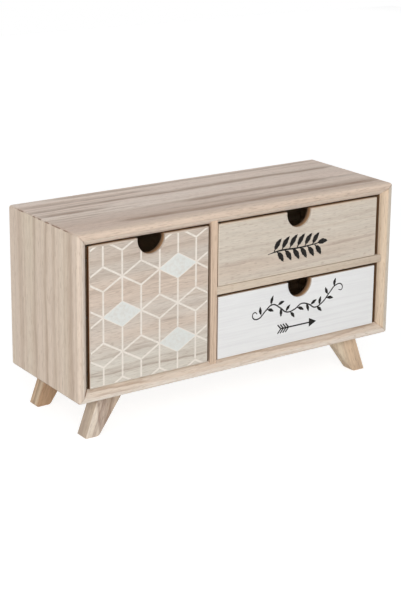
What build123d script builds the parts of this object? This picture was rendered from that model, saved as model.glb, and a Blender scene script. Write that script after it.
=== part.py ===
from build123d import *
import os

# A small wooden chest: a mitred case on four splayed legs, with one tall drawer
# on the left and two low drawers, one above the other, on the right.
# X runs to the right, Y to the back and Z up. The origin is on the floor,
# under the middle of the case. All sizes are in millimetres.

# Case
case_width = 320.0
case_depth = 113.2
case_height = 138.8
board_thickness = 10.0
frame_flat = 4.5
outer_rounding = 2.4
left_bay_width = 117.4
divider_thickness = 6.5
shelf_thickness = 6.8
lower_bay_height = 57.0
front_setback = 3.0
housing_depth = 3.0
shelf_housing_depth = 2.0
inner_edge_rounding = 0.5

# Back panel
back_thickness = 3.0
back_rabbet = 4.0
back_inset = 0.5
back_fit = 0.3
back_brads_per_long_edge = 4
back_brads_per_short_edge = 2

# Legs
leg_height = 34.6
foot_width = 12.4
foot_depth = 14.5
foot_to_case_end = 20.3
foot_to_case_face = 16.4
# The set of legs stands a little off the middle of the case, to the left and back
legs_off_middle_x = -2.1
legs_off_middle_y = 1.3
outer_lean = 12.8
inner_flare = 27.5
ridge_inset = 2.6
planed_off = 3.8
leg_easing = 0.6

# Screws that hold the legs
screw_length = 22.0
screw_diameter = 3.4
screw_head_diameter = 7.0
screw_head_height = 2.4
screw_sink = 0.3
screw_to_foot = 16.0

# Drawers
drawer_front_thickness = 7.0
drawer_side_thickness = 5.5
drawer_back_thickness = 5.5
drawer_bottom_thickness = 3.0
bottom_height = 4.0
bottom_groove_depth = 2.5
bottom_fit = 0.2
front_lap = 4.0
side_setback = 0.5
side_drop = 3.0
runner_gap = 0.3
rear_gap = 2.0
drawer_edge_rounding = 0.8
notch_radius = 13.0
notch_centre_drop = 1.5
notch_easing = 0.5

# Gaps round each drawer front, and how far its notch is off the middle
left_drawer_gaps = dict(left=1.8, right=2.6, top=1.4)
upper_drawer_gaps = dict(left=0.5, right=5.2, top=1.6)
lower_drawer_gaps = dict(left=0.5, right=5.0, top=2.3)
left_notch_shift = 1.2
upper_notch_shift = -1.1
lower_notch_shift = 1.4

# Brads: flat wire pins with a T-shaped head
brad_width = 1.2
brad_thickness = 1.0
brad_head_width = 2.2
brad_head_height = 0.6
drawer_brad_length = 14.0
back_brad_length = 12.0
brads_per_tall_corner = 3
brads_per_low_corner = 2
brad_end_margin = 9.0

# Places that follow from the sizes
mouth_bevel = board_thickness - frame_flat
case_floor = leg_height
case_top = leg_height + case_height
half_width = case_width / 2
half_depth = case_depth / 2
inner_left = board_thickness - half_width
inner_right = half_width - board_thickness
inner_floor = case_floor + board_thickness
inner_ceiling = case_top - board_thickness
case_front = -half_depth
inner_front = case_front + front_setback
inner_back = half_depth - back_inset - back_thickness
divider_left = inner_left + left_bay_width
divider_right = divider_left + divider_thickness
shelf_floor = inner_floor + lower_bay_height
shelf_top = shelf_floor + shelf_thickness


def block(x_low, x_high, y_low, y_high, z_low, z_high):
    """A straight piece of stock between two corners."""
    stock = Box(x_high - x_low, y_high - y_low, z_high - z_low, align=(Align.MIN,) * 3)
    return Pos(x_low, y_low, z_low) * stock


def rectangle_at(y, inset):
    """A rectangle across the case, this far inside its outer faces."""
    plane = Plane.XZ.offset(-y)
    height = case_height - 2 * inset
    centre = Pos(0, case_floor + case_height / 2)
    return plane * centre * Rectangle(case_width - 2 * inset, height)


def screw(length, diameter, head_diameter, head_height):
    """A countersunk screw, head up at the origin and end down."""
    profile = Polyline(
        (0, 0),
        (head_diameter / 2, 0),
        (diameter / 2, -head_height),
        (diameter / 2, -length),
        (0, -length),
        close=True,
    )
    return revolve(Plane.XZ * make_face(profile), Axis.Z)


def brad(length):
    """A brad of flat wire, with its T-shaped head up at the origin and a chisel point down."""
    shank = brad_width / 2
    head = brad_head_width / 2
    profile = Polyline(
        (-head, 0),
        (head, 0),
        (head, -brad_head_height),
        (shank, -brad_head_height),
        (shank, brad_width - length),
        (0, -length),
        (-shank, brad_width - length),
        (-shank, -brad_head_height),
        (-head, -brad_head_height),
        close=True,
    )
    return extrude(Plane.XZ * make_face(profile), brad_thickness / 2, both=True)


# Case boards: each is a mitred plank, and one bevelled mouth is cut through all four

rounded_case = fillet(
    block(-half_width, half_width, case_front, half_depth, case_floor, case_top).edges(),
    outer_rounding,
)
mouth = loft([
    rectangle_at(case_front, frame_flat),
    rectangle_at(case_front + mouth_bevel, board_thickness),
])
hollow = mouth + block(
    inner_left, inner_right, case_front + mouth_bevel, half_depth, inner_floor, inner_ceiling
)
back_seat = extrude(
    rectangle_at(half_depth, board_thickness - back_rabbet), back_thickness + back_inset
)


def mitred_board(outer_start, outer_end, inner_end, inner_start):
    """One plank of the case, from its mitred outline seen from the front."""
    outline = make_face(Polyline(outer_start, outer_end, inner_end, inner_start, close=True))
    plank = extrude(Plane.XZ * outline, half_depth, both=True)
    return (plank & rounded_case) - mouth - back_seat


outer_corners = dict(
    low_left=(-half_width, case_floor),
    low_right=(half_width, case_floor),
    top_right=(half_width, case_top),
    top_left=(-half_width, case_top),
)
inner_corners = dict(
    low_left=(inner_left, inner_floor),
    low_right=(inner_right, inner_floor),
    top_right=(inner_right, inner_ceiling),
    top_left=(inner_left, inner_ceiling),
)


def board_between(start, end):
    return mitred_board(
        outer_corners[start], outer_corners[end], inner_corners[end], inner_corners[start]
    )


# Divider and shelf: their front ends are scribed to the bevel, and behind it they
# run into housings in the boards that hold them

housing_front = case_front + mouth_bevel

divider_plate = block(
    divider_left, divider_right, inner_front, inner_back, case_floor, case_top
)
divider_tongues = block(
    divider_left,
    divider_right,
    housing_front,
    inner_back,
    inner_floor - housing_depth,
    inner_ceiling + housing_depth,
)
divider = (divider_plate & hollow) + divider_tongues

shelf_plate = block(divider_right, half_width, inner_front, inner_back, shelf_floor, shelf_top)
shelf_tongues = block(
    divider_right - shelf_housing_depth,
    inner_right + housing_depth,
    housing_front,
    inner_back,
    shelf_floor,
    shelf_top,
)
shelf = (shelf_plate & hollow) + shelf_tongues


def soften_front_edges(piece, direction):
    """Round the long front edges of the divider or the shelf."""
    long_edges = piece.edges().filter_by(direction).group_by(Axis.Y)[0]
    return fillet(long_edges, inner_edge_rounding)


divider = soften_front_edges(divider, Axis.Z)
shelf = soften_front_edges(shelf, Axis.X)
divider = divider - shelf

bottom_panel = board_between("low_left", "low_right") - divider
top_panel = board_between("top_right", "top_left") - divider
left_side_panel = board_between("top_left", "low_left")
right_side_panel = board_between("low_right", "top_right") - shelf

# Back panel: thin plywood in a rabbet, nailed on from behind

back_edge = board_thickness - back_rabbet + back_fit
back_panel = extrude(rectangle_at(half_depth - back_inset, back_edge), back_thickness)
back_brad_line = board_thickness - back_rabbet / 2


def spread(low, high, count):
    """Evenly spaced places between two ends, both included."""
    step = (high - low) / (count - 1)
    return [low + step * place for place in range(count)]


back_brad_head_y = half_depth - back_inset
back_brad_x = half_width - back_brad_line
back_brad_low = case_floor + back_brad_line
back_brad_high = case_top - back_brad_line
back_brad_places = []
for x in spread(-back_brad_x, back_brad_x, back_brads_per_long_edge):
    back_brad_places += [(x, back_brad_low), (x, back_brad_high)]
short_edge = spread(back_brad_low, back_brad_high, back_brads_per_short_edge + 2)
for z in short_edge[1:-1]:
    back_brad_places += [(-back_brad_x, z), (back_brad_x, z)]

brad_driven_forward = Rot(-90, 0, 0) * brad(back_brad_length)
back_panel_brads = Compound([
    Pos(x, back_brad_head_y, z) * brad_driven_forward for x, z in back_brad_places
])

# Legs: a splayed blank sawn from thick stock, whose broad faces are each planed
# in two flats that meet on a ridge


def leg_blank():
    """A leg that leans out towards +X, with the middle of its foot at the origin."""
    foot_outer = foot_width / 2
    foot_inner = -foot_width / 2
    top_outer = foot_outer - outer_lean
    top_inner = foot_inner - inner_flare
    profile = Polyline(
        (foot_inner, 0),
        (foot_outer, 0),
        (top_outer, leg_height),
        (top_inner, leg_height),
        close=True,
    )
    blank = extrude(Plane.XZ * make_face(profile), foot_depth / 2, both=True)
    for side in (-1, 1):
        foot_corner = Vector(foot_inner, side * foot_depth / 2, 0)
        ridge_top = Vector(top_outer - ridge_inset, side * foot_depth / 2, leg_height)
        inner_top = Vector(top_inner, side * (foot_depth / 2 - planed_off), leg_height)
        normal = (ridge_top - foot_corner).cross(inner_top - foot_corner).normalized()
        if normal.Y * side < 0:
            normal = -normal
        flat = Plane(foot_corner, x_dir=ridge_top - foot_corner, z_dir=normal)
        blank = split(blank, bisect_by=flat, keep=Keep.BOTTOM)
    upright = [edge for edge in blank.edges() if abs(edge.tangent_at(0.5).Z) > 0.5]
    return chamfer(upright, leg_easing)


leg_spread_x = half_width - foot_to_case_end
leg_spread_y = half_depth - foot_to_case_face
left_foot_x = legs_off_middle_x - leg_spread_x
right_foot_x = legs_off_middle_x + leg_spread_x
front_foot_y = legs_off_middle_y - leg_spread_y
back_foot_y = legs_off_middle_y + leg_spread_y
right_leg = leg_blank()
left_leg = mirror(right_leg, about=Plane.YZ)
legs = {
    "front_left_leg": Pos(left_foot_x, front_foot_y, 0) * left_leg,
    "front_right_leg": Pos(right_foot_x, front_foot_y, 0) * right_leg,
    "back_left_leg": Pos(left_foot_x, back_foot_y, 0) * left_leg,
    "back_right_leg": Pos(right_foot_x, back_foot_y, 0) * right_leg,
}

screw_places = [
    Pos(x, y, inner_floor - screw_sink)
    for x in (left_foot_x + screw_to_foot, right_foot_x - screw_to_foot)
    for y in (front_foot_y, back_foot_y)
]
leg_screw = screw(screw_length, screw_diameter, screw_head_diameter, screw_head_height)
recess_base = (Align.CENTER, Align.CENTER, Align.MIN)
recess = Cylinder(screw_head_diameter / 2, screw_sink, align=recess_base)
leg_screws = Compound([place * leg_screw for place in screw_places])
screw_recesses = Compound([place * recess for place in screw_places])
bottom_panel = bottom_panel - leg_screws - screw_recesses

for brad_hole in back_panel_brads.solids():
    back_panel = back_panel - brad_hole
    bottom_panel = bottom_panel - brad_hole
    top_panel = top_panel - brad_hole
    left_side_panel = left_side_panel - brad_hole
    right_side_panel = right_side_panel - brad_hole

pieces = {
    "left_side_panel": left_side_panel,
    "right_side_panel": right_side_panel,
    "top_panel": top_panel,
    "bottom_panel": bottom_panel,
    "divider": divider,
    "shelf": shelf,
    "back_panel": back_panel,
    "back_panel_brads": back_panel_brads,
    "leg_screws": leg_screws,
}
for name, leg in legs.items():
    pieces[name] = leg - leg_screws

# Drawers


def notch_cutter(centre_x, centre_z, front_face, front_rear):
    """What is bored out of a drawer front: a round bore with both of its rims eased."""
    wide = notch_radius + notch_easing
    profile = Polyline(
        (0, front_face),
        (wide, front_face),
        (notch_radius, front_face + notch_easing),
        (notch_radius, front_rear - notch_easing),
        (wide, front_rear),
        (0, front_rear),
        close=True,
    )
    return Pos(centre_x, 0, centre_z) * revolve(make_face(profile), Axis.Y)


def drawer(name, bay, gaps, notch_shift, brads_per_corner):
    """One drawer: a notched front with lapped ends, two sides, a back and a bottom."""
    bay_left, bay_right, bay_floor, bay_ceiling = bay
    left = bay_left + gaps["left"]
    right = bay_right - gaps["right"]
    low = bay_floor + runner_gap
    high = bay_ceiling - gaps["top"]
    front_face = inner_front
    front_rear = front_face + drawer_front_thickness
    lap_face = front_rear - front_lap
    drawer_rear = inner_back - rear_gap
    side_top = high - side_drop
    side_left = left + side_setback
    side_right = right - side_setback
    inside_left = side_left + drawer_side_thickness
    inside_right = side_right - drawer_side_thickness
    back_face = drawer_rear - drawer_back_thickness
    bottom_low = low + bottom_height
    bottom_high = bottom_low + drawer_bottom_thickness

    groove = block(
        inside_left - bottom_groove_depth,
        inside_right + bottom_groove_depth,
        front_rear - bottom_groove_depth,
        back_face + bottom_groove_depth,
        bottom_low,
        bottom_high,
    )
    bottom = block(
        inside_left - bottom_groove_depth + bottom_fit,
        inside_right + bottom_groove_depth - bottom_fit,
        front_rear - bottom_groove_depth + bottom_fit,
        back_face + bottom_groove_depth - bottom_fit,
        bottom_low,
        bottom_high,
    )

    front = block(left, right, front_face, front_rear, low, high)
    front = fillet(front.faces().sort_by(Axis.Y)[0].edges(), drawer_edge_rounding)
    notch_x = (left + right) / 2 + notch_shift
    notch_z = high - notch_centre_drop
    front = front - notch_cutter(notch_x, notch_z, front_face, front_rear)
    for lap_left, lap_right in ((left, inside_left), (inside_right, right)):
        front = front - block(lap_left, lap_right, lap_face, front_rear, low, high)
    front = front - groove

    left_side = block(side_left, inside_left, lap_face, drawer_rear, low, side_top) - groove
    right_side = block(inside_right, side_right, lap_face, drawer_rear, low, side_top) - groove
    back = block(inside_left, inside_right, back_face, drawer_rear, low, side_top) - groove

    lowest_brad = bottom_high + brad_end_margin / 2
    highest_brad = side_top - brad_end_margin
    front_brad_y = (lap_face + front_rear) / 2
    back_brad_y = (back_face + drawer_rear) / 2
    brad_driven_right = Rot(0, -90, 0) * brad(drawer_brad_length)
    brad_driven_left = Rot(0, 90, 0) * brad(drawer_brad_length)
    brads = []
    for y in (front_brad_y, back_brad_y):
        for z in spread(lowest_brad, highest_brad, brads_per_corner):
            brads.append(Pos(side_left, y, z) * brad_driven_right)
            brads.append(Pos(side_right, y, z) * brad_driven_left)
    brads = Compound(brads)

    pieces[name + "_drawer_front"] = front - brads
    pieces[name + "_drawer_left_side"] = left_side - brads
    pieces[name + "_drawer_right_side"] = right_side - brads
    pieces[name + "_drawer_back"] = back - brads
    pieces[name + "_drawer_bottom"] = bottom
    pieces[name + "_drawer_brads"] = brads


left_bay = (inner_left, divider_left, inner_floor, inner_ceiling)
upper_bay = (divider_right, inner_right, shelf_top, inner_ceiling)
lower_bay = (divider_right, inner_right, inner_floor, shelf_floor)
drawer("left", left_bay, left_drawer_gaps, left_notch_shift, brads_per_tall_corner)
drawer("upper", upper_bay, upper_drawer_gaps, upper_notch_shift, brads_per_low_corner)
drawer("lower", lower_bay, lower_drawer_gaps, lower_notch_shift, brads_per_low_corner)

os.makedirs("parts", exist_ok=True)
for name, shape in pieces.items():
    export_step(shape, f"parts/{name}.step")
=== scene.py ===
import math

import bpy
from mathutils import Matrix, Vector


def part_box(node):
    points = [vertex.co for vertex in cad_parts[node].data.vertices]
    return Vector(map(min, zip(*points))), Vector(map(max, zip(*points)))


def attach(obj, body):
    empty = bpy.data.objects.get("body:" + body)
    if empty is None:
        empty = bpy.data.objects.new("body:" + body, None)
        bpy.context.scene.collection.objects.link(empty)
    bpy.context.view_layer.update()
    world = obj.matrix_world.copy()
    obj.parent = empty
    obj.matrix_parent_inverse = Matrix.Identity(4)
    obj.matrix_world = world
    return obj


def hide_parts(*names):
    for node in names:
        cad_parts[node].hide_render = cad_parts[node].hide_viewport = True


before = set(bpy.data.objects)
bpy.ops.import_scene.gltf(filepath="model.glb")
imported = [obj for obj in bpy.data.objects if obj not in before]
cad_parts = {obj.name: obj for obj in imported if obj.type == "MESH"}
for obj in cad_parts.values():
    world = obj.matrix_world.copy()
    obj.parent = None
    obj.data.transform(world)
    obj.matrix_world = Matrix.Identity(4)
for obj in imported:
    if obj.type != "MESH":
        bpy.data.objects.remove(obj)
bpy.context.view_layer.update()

# A small chest of pale paulownia wood, with one patterned, one plain and one white drawer.
# Lengths are in millimetres and become metres where a Blender object is made.

MM = 0.001


# Camera: where the photograph was taken from, and how it was framed. Angles are in degrees,
# and the sensor's length lies along the photograph's height.

PHOTO_HEIGHT = 601
SENSOR_LENGTH = 36.0
CAMERA_AZIMUTH = 34.72
CAMERA_ELEVATION = 14.75
CAMERA_ROLL = 0.57
CAMERA_DISTANCE = 1265.8
FOCAL_PIXELS = 1487.5
CENTRE_ROW = 210.0
LOOKS_AT = (-6.7, 0.0, 159.7)


def set_camera():
    """Puts the camera where the photograph's camera stood."""
    azimuth = math.radians(CAMERA_AZIMUTH)
    elevation = math.radians(CAMERA_ELEVATION)
    towards_camera = Vector((
        -math.sin(azimuth) * math.cos(elevation),
        -math.cos(azimuth) * math.cos(elevation),
        math.sin(elevation),
    ))
    data = bpy.data.cameras.new("camera")
    data.sensor_width = SENSOR_LENGTH
    data.lens = FOCAL_PIXELS / PHOTO_HEIGHT * SENSOR_LENGTH
    data.shift_y = (CENTRE_ROW - PHOTO_HEIGHT / 2) / PHOTO_HEIGHT
    camera = bpy.data.objects.new("camera", data)
    bpy.context.scene.collection.objects.link(camera)
    turned = towards_camera.to_track_quat("Z", "Y").to_matrix().to_4x4()
    rolled = Matrix.Rotation(math.radians(CAMERA_ROLL), 4, "Z")
    place = (Vector(LOOKS_AT) + towards_camera * CAMERA_DISTANCE) * MM
    camera.matrix_world = Matrix.Translation(place) @ turned @ rolled
    bpy.context.scene.camera = camera


def linear(code):
    """An sRGB hex colour as the linear colour that a shader takes."""
    channels = [int(code[place:place + 2], 16) / 255 for place in (1, 3, 5)]
    curved = [c / 12.92 if c <= 0.04045 else ((c + 0.055) / 1.055) ** 2.4 for c in channels]
    return (*curved, 1.0)


def add(tree, kind, *inputs, output=0, **settings):
    """Adds one shader node, with inputs in order and settings by name, and gives an output."""
    made = tree.nodes.new("ShaderNode" + kind)
    values = dict(enumerate(inputs))
    for name, value in settings.items():
        if hasattr(made, name):
            setattr(made, name, value)
        else:
            values[name.replace("_", " ")] = value
    for place, value in values.items():
        if isinstance(value, bpy.types.NodeSocket):
            tree.links.new(value, made.inputs[place])
        elif value is not None:
            made.inputs[place].default_value = value
    return None if output is None else made.outputs[output]


# A Map Range with this setting runs softly from one value to the other and stays there.

SMOOTH = dict(interpolation_type="SMOOTHSTEP")


def new_material(name):
    """An empty node material and its tree."""
    material = bpy.data.materials.new(name)
    material.use_nodes = True
    material.node_tree.nodes.clear()
    return material, material.node_tree


# Sizes read from the frame, in millimetres


def box_mm(node):
    """Lowest and highest corner of a piece of the frame."""
    low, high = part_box(node)
    return low / MM, high / MM


CASE_LOW, CASE_HIGH = box_mm("bottom_panel")[0], box_mm("top_panel")[1]
CASE_HALF_WIDTH = box_mm("right_side_panel")[1].x
CASE_MIDDLE = (CASE_LOW.z + CASE_HIGH.z) / 2
CASE_HALF_HEIGHT = (CASE_HIGH.z - CASE_LOW.z) / 2
BOARD = 10.0


# Wood. Each board is cut from a log of its own: the third axis runs along the grain,
# and where the heart of the log lies from the board sets the figure.

TURN_GRAIN = {
    "X": (0.0, math.radians(-90), 0.0),
    "Y": (math.radians(90), 0.0, 0.0),
    "Z": (0.0, 0.0, 0.0),
}


def log_position(tree, cut):
    """Millimetres from the heart of the log, with the third axis along the grain."""
    turn = Vector(TURN_GRAIN[cut["grain"]]) + Vector(cut.get("tilt", (0.0, 0.0, 0.0)))
    placed = add(tree, "TexCoord", output="Object")
    return add(
        tree, "Mapping", placed, Location=cut["heart"], Rotation=turn, Scale=(1 / MM,) * 3
    )


def stretched_noise(tree, position, size, detail=2.0, roughness=0.5):
    """Noise whose blots have this size across the grain and along it."""
    across, along = size
    squeezed = (1 / across, 1 / across, 1 / along)
    scaled = add(tree, "VectorMath", position, squeezed, operation="MULTIPLY")
    return add(
        tree, "TexNoise", scaled, Scale=1.0, Detail=detail, Roughness=roughness, output="Fac"
    )


def object_millimetres(tree):
    """The three object coordinates in millimetres, by their letters."""
    placed = add(tree, "TexCoord", output="Object")
    scaled = add(tree, "VectorMath", placed, Scale=1 / MM, operation="SCALE")
    return dict(zip("xyz", add(tree, "SeparateXYZ", scaled).node.outputs))


def within(tree, value, low, high, soft):
    """1 between two bounds, fading to 0 over this width inside them."""
    above = add(tree, "MapRange", value, low, low + soft, **SMOOTH)
    below = add(tree, "MapRange", value, high - soft, high, 1.0, 0.0, **SMOOTH)
    return add(tree, "Math", above, below, operation="MULTIPLY")


# Bands of late wood wander to both sides and are patchy; on the front left leg the same
# bands are painted shade. Sizes are along the board and across it.

BAND_WANDER = 5.0
BAND_WANDER_SIZE = (75.0, 28.0)
BAND_PATCH_SIZE = (30.0, 2.2)
BAND_PATCHES = (0.32, 0.62)
FAINTEST_PATCH = 0.55
BAND_END = 30.0
BAND_SHARP_SIDE = 0.4


def late_wood_and_shade_bands(tree, cut):
    """The strongest late wood of a board, laid where its figure shows it; on the front left
    leg, painted shade instead.

    A band is its place across the board, how much that changes along the board, its
    width, its strength, and where along the board it starts and ends. It darkens slowly
    from one side and ends sharply on the other, as a growth ring does."""
    places = object_millimetres(tree)
    along, across = places[cut["along"]], places[cut["across"]]
    drawn = add(tree, "CombineXYZ", along, across, 0.0)
    noises = []
    for length, width in (BAND_WANDER_SIZE, BAND_PATCH_SIZE):
        squeezed = (1 / length, 1 / width, 1.0)
        scaled = add(tree, "VectorMath", drawn, squeezed, operation="MULTIPLY")
        noises.append(add(tree, "TexNoise", scaled, Scale=1.0, Detail=3.0, output="Fac"))
    wander, patch = noises
    moved = add(tree, "Math", wander, 2 * BAND_WANDER, -BAND_WANDER, operation="MULTIPLY_ADD")
    moved = add(tree, "Math", moved, across, operation="SUBTRACT")
    total = 0.0
    for centre, slope, width, strength, start, end in cut["bands"]:
        line = add(tree, "Math", along, slope, centre, operation="MULTIPLY_ADD")
        past = add(tree, "Math", line, moved, operation="ADD")
        rise = add(tree, "MapRange", past, -width, 0.0, **SMOOTH)
        sharp = BAND_SHARP_SIDE * width
        fall = add(tree, "MapRange", past, 0.0, sharp, strength, 0.0, **SMOOTH)
        band = add(tree, "Math", rise, fall, operation="MULTIPLY")
        ends = within(tree, along, start - BAND_END / 2, end + BAND_END / 2, BAND_END)
        band = add(tree, "Math", band, ends, operation="MULTIPLY")
        total = add(tree, "Math", total, band, operation="MAXIMUM")
    patches = add(tree, "MapRange", patch, *BAND_PATCHES, FAINTEST_PATCH, 1.0, **SMOOTH)
    return add(tree, "Math", total, patches, operation="MULTIPLY")


# Sizes of the finer figures, across the grain and along it. Real fibres and pores are
# finer still and wouldn't show, so they are drawn this coarse.

RING_BEND_SIZE = (55.0, 330.0)
RING_WOBBLE_SIZE = (9.0, 110.0)
TINT_SIZE = (24.0, 380.0)
STREAK_SIZE = (3.2, 130.0)
FIBRE_SIZE = (0.7, 16.0)
PORE_SIZE = (0.55, 6.0)

# Where on its noise each figure begins, and where it is full

TINTS = (0.36, 0.64)
STREAKS = (0.48, 0.72)
FIBRES = (0.3, 0.7)
PORES = (0.62, 0.74)
PORE_SHARE = 0.35
FIBRE_SHADES = (0.93, 1.06)
FIBRE_RELIEF = 0.5

# A ring darkens from its early wood to its late wood and ends abruptly. No two rings
# are equally dark.

LATE_WOOD_BEGINS = 0.35
LATE_WOOD_ENDS = 0.9
FAINTEST_RING = 0.25


def growth_rings(tree, position, cut):
    """How late the wood is: rings about the heart, bent slowly and wobbled quickly."""
    flat = add(tree, "VectorMath", position, (1.0, 1.0, 0.0), operation="MULTIPLY")
    distance = add(tree, "VectorMath", flat, operation="LENGTH", output="Value")
    bend = stretched_noise(tree, position, RING_BEND_SIZE, detail=1.0)
    wobble = stretched_noise(tree, position, RING_WOBBLE_SIZE)
    bent = add(tree, "Math", bend, cut["bend"], distance, operation="MULTIPLY_ADD")
    wobbled = add(tree, "Math", wobble, cut["wobble"], bent, operation="MULTIPLY_ADD")
    rings = add(tree, "Math", wobbled, cut["ring"], operation="DIVIDE")
    number = add(tree, "Math", rings, operation="FLOOR")
    phase = add(tree, "Math", rings, operation="FRACT")
    darkens = add(tree, "MapRange", phase, LATE_WOOD_BEGINS, LATE_WOOD_ENDS, **SMOOTH)
    ends = add(tree, "MapRange", phase, LATE_WOOD_ENDS, 1.0, 1.0, 0.0, **SMOOTH)
    late = add(tree, "Math", darkens, ends, operation="MULTIPLY")
    character = add(tree, "TexWhiteNoise", noise_dimensions="1D", W=number, output="Value")
    force = add(tree, "MapRange", character, 0.0, 1.0, FAINTEST_RING, 1.0, **SMOOTH)
    return add(tree, "Math", late, force, operation="MULTIPLY")


def sawn_paulownia(tree, cut):
    """Colour, relief and fibres of bare paulownia, as this board's place in its log cuts it.

    A zone is an axis, where on it the zone begins and is full, its share and its shade."""
    position = log_position(tree, cut)
    late = growth_rings(tree, position, cut)
    tint = stretched_noise(tree, position, TINT_SIZE, detail=1.0)
    streak = stretched_noise(tree, position, STREAK_SIZE, detail=4.0, roughness=0.6)
    fibre = stretched_noise(tree, position, FIBRE_SIZE, roughness=0.6)
    pore = stretched_noise(tree, position, PORE_SIZE, detail=0.0)

    tones = {name: linear(code) for name, code in cut["tones"].items()}
    warmth = add(tree, "MapRange", tint, *TINTS, **SMOOTH)
    colour = add(tree, "MixRGB", warmth, tones["cool"], tones["warm"])
    streaks = add(tree, "MapRange", streak, *STREAKS, 0.0, cut["streaks"], **SMOOTH)
    colour = add(tree, "MixRGB", streaks, colour, tones["streak"])
    for axis, start, full, share, shade in cut.get("zones", ()):
        place = object_millimetres(tree)[axis]
        zone = add(tree, "MapRange", place, start, full, 0.0, share, **SMOOTH)
        colour = add(tree, "MixRGB", zone, colour, linear(shade))
    rings = add(tree, "Math", late, cut["late"], operation="MULTIPLY")
    colour = add(tree, "MixRGB", rings, colour, tones["late"])
    if "bands" in cut:
        colour = add(tree, "MixRGB", late_wood_and_shade_bands(tree, cut), colour, tones["late"])
    pores = add(tree, "MapRange", pore, *PORES, 0.0, PORE_SHARE, **SMOOTH)
    colour = add(tree, "MixRGB", pores, colour, tones["late"])
    shade = add(tree, "MapRange", fibre, *FIBRES, *FIBRE_SHADES, **SMOOTH)
    colour = add(tree, "MixRGB", 1.0, colour, shade, blend_type="MULTIPLY")

    relief = add(tree, "Math", fibre, FIBRE_RELIEF, late, operation="MULTIPLY_ADD")
    relief = add(tree, "Math", relief, pores, operation="SUBTRACT")
    return colour, relief, fibre


PLAIN_SHINE = 0.5
SHADED_SHINE = 0.08
QUITE_SHADED = 0.8


def finish(material, colour, relief, roughness, depth, ior=1.5, raw=None):
    """Joins colour, relief of this many millimetres and roughness to the surface.

    Where a share of painted shade is given, the wood hardly shines."""
    tree = material.node_tree
    normal = add(tree, "Bump", Height=relief, Strength=1.0, Distance=depth * MM)
    shine = PLAIN_SHINE
    if raw is not None:
        shine = add(tree, "MapRange", raw, 0.0, QUITE_SHADED, PLAIN_SHINE, SHADED_SHINE, **SMOOTH)
    surface = add(
        tree, "BsdfPrincipled",
        Base_Color=colour, Roughness=roughness, Normal=normal, IOR=ior,
        Specular_IOR_Level=shine,
    )
    add(tree, "OutputMaterial", surface, output=None)


# Painted shade: the walls of the finger notches and the cut ends of the fronts are coloured
# brown, darker deeper in, which darkens the gaps and the notches. The notches keep a pale
# rim at the face; the fronts' ends keep none.

NOTCH_SHADE = "#b8895a"
NOTCH_DEEP_SHADE = "#74502f"
NOTCH_RIM = 1.7
NOTCH_SHARE = 0.85
END_SHADE = "#6c431f"
END_DEEP_SHADE = "#4a2d13"
END_RIM = 0.0
END_SHARE = 0.97


# Tones of the wood: pale, greyish or pinkish, with browner late wood

TOP_TONES = dict(cool="#e4d6ca", warm="#e1cfc2", streak="#bda692", late="#927661")
SIDE_TONES = dict(cool="#e1d4c1", warm="#dfcebe", streak="#cbb7a1", late="#ab927c")
RIGHT_TONES = dict(cool="#dccab3", warm="#dec3a9", streak="#c8aa8c", late="#a88868")
BOTTOM_TONES = dict(cool="#ebe4da", warm="#ebe0d4", streak="#d5c2ae", late="#a5846a")
DIVIDER_TONES = dict(cool="#ddceba", warm="#dfc6b0", streak="#c8af96", late="#a5896e")
SHELF_TONES = dict(cool="#d6cfc0", warm="#d7c9b8", streak="#c2b09b", late="#a5896e")
LEG_TONES = dict(
    front_left=dict(cool="#e6dacb", warm="#e6d4c3", streak="#c3a792", late="#744c3a"),
    front_right=dict(cool="#dccdb6", warm="#dac1a6", streak="#bb9d80", late="#94745a"),
    back_left=dict(cool="#d8c5ab", warm="#d3b596", streak="#a98463", late="#80583a"),
    back_right=dict(cool="#d2c3aa", warm="#d3b99d", streak="#ab8e72", late="#866549"),
)
LEFT_TONES = dict(cool="#d7cec4", warm="#d8c8ba", streak="#bba999", late="#967f70")
UPPER_TONES = dict(cool="#d6cdc0", warm="#d6c8b9", streak="#c0af9e", late="#a0877a")
PLY_TONES = dict(cool="#dccaae", warm="#dcc1a0", streak="#c6a785", late="#a98660")
# The drawer boxes' wood is toned darker than the case, partly as painted shade for their
# insides seen through the notches and gaps.
BOX_TONES = dict(cool="#c2ae93", warm="#c3a789", streak="#a98c6e", late="#8a6c4e")

# A board is its slot, its tones, the axis of its grain, the place of its log's heart, how
# wide the rings are, how far they bend and wobble, and how strongly streaks and late wood
# show. Its bands and zones are laid where the photograph shows them.

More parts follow.
